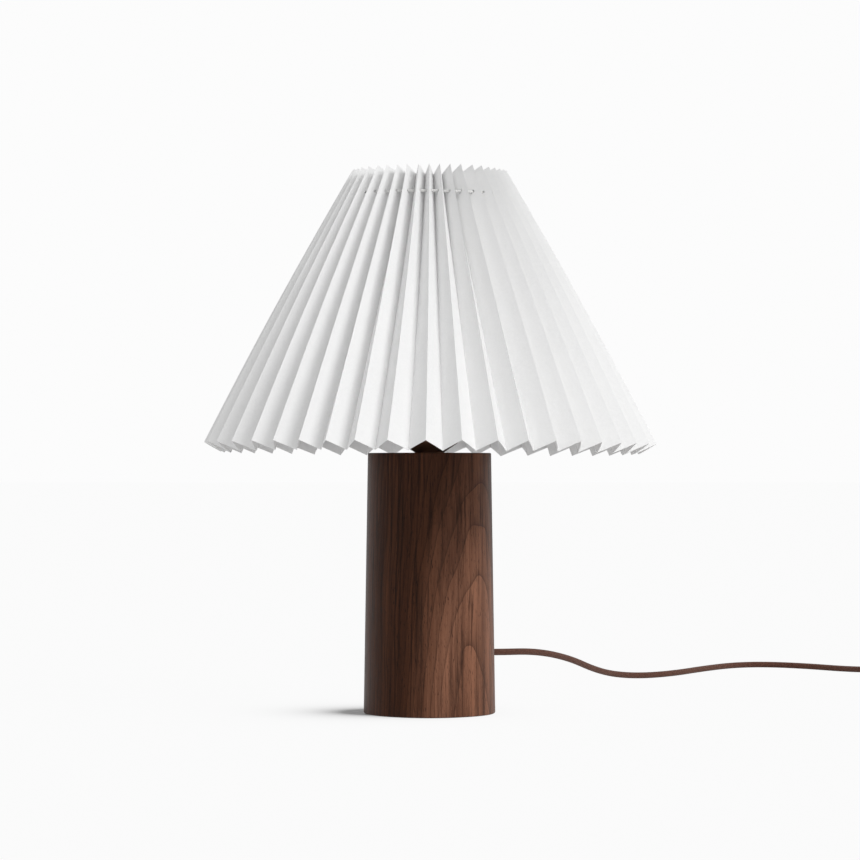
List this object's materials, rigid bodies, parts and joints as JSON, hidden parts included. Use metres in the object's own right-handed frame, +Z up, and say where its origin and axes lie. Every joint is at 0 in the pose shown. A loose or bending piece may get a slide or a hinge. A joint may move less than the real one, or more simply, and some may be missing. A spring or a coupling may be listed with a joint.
{
  "type": "pleated paper table lamp",
  "caption": "Table lamp: a tapered dark wooden column carries a conical pleated paper shade on a wire carrier, with a fabric-covered lead, a rocker switch and a plug.",
  "frame": {"origin": "centre of the foot, on the table top", "axes": "+Z up, -Y the front that the picture shows, +Y the back where the lead leaves, +X to the picture's right"},
  "size_m": [0.7108, 0.8111, 0.468],
  "materials": {
    "walnut": "oiled, open grain",
    "shade_paper": "matt pleated card",
    "white_cord": "twisted cotton",
    "dark_bronze": "satin dark bronze",
    "white_wire": "white powder coat",
    "zinc_steel": "zinc plated",
    "cast_weight": "black painted casting",
    "cover_steel": "black",
    "brass": "bright",
    "felt": "dense dark felt",
    "flex_fabric": "woven brown sleeve",
    "core_insulation": "extruded",
    "brown_rubber": "moulded",
    "brown_plastic": "fine texture",
    "holder_plastic": "moulded phenolic",
    "white_ceramic": "unglazed",
    "opal_glass": "opal",
    "black_glass": "fused",
    "bulb_plastic": "moulded",
    "nickel": "nickel plated",
    "board_white": "solder mask",
    "tie_fabric": "woven strap"
  },
  "bodies": {
    "lamp": {"wood_column": "walnut", "ballast_disc": "cast_weight", "ballast_screws": "zinc_steel", "bottom_cover": "cover_steel", "cover_screws": "zinc_steel", "felt_pad": "felt", "lamp_pipe": "zinc_steel", "pipe_washer": "zinc_steel", "pipe_nut": "zinc_steel", "cup_nut": "zinc_steel", "strain_relief": "brown_rubber", "relief_nut": "brown_plastic", "inner_lead": "flex_fabric", "core_wires": "core_insulation", "socket_cup": "dark_bronze", "lampholder_cap": "holder_plastic", "contact_block": "white_ceramic", "terminal_screws": "brass", "screw_socket": "brass", "centre_contact": "brass", "lampholder_sleeve": "holder_plastic", "shade_ring_nut": "holder_plastic", "carrier_hub": "white_wire", "carrier_arms": "white_wire", "carrier_ring": "white_wire", "cord_to_switch": "flex_fabric", "cord_to_coil": "flex_fabric", "cord_to_plug": "flex_fabric", "cord_coil": "flex_fabric", "switch_lead_ends": "flex_fabric", "coil_tie": "tie_fabric", "switch_base": "brown_plastic", "switch_cover": "brown_plastic", "switch_screws": "zinc_steel", "switch_contacts": "brass", "rocker_pin": "zinc_steel", "plug_body": "brown_plastic", "plug_blades": "brass"},
    "shade": {"pleated_shade": "shade_paper", "seam_strip": "shade_paper", "draw_string": "white_cord", "string_knot": "white_cord"},
    "bulb": {"bulb_contact": "brass", "bulb_insulator": "black_glass", "bulb_screw_cap": "nickel", "bulb_collar": "bulb_plastic", "led_board": "board_white", "bulb_globe": "opal_glass"},
    "rocker": {"switch_rocker": "brown_plastic"}
  },
  "joints": [
    {"name": "shade_lift", "type": "slide", "parent": "lamp", "child": "shade", "axis": [0, 0, 1], "range_m": [0, 0.22]},
    {"name": "bulb_turn", "type": "hinge", "parent": "lamp", "child": "bulb", "pos_m": [0, 0, 0.275], "axis": [0, 0, 1], "continuous": true},
    {"name": "rocker_tilt", "type": "hinge", "parent": "lamp", "child": "rocker", "pos_m": [0.47876, 0.43581, 0.0126], "axis": [0.9397, 0.342, 0], "range_deg": [0, 14]}
  ]
}
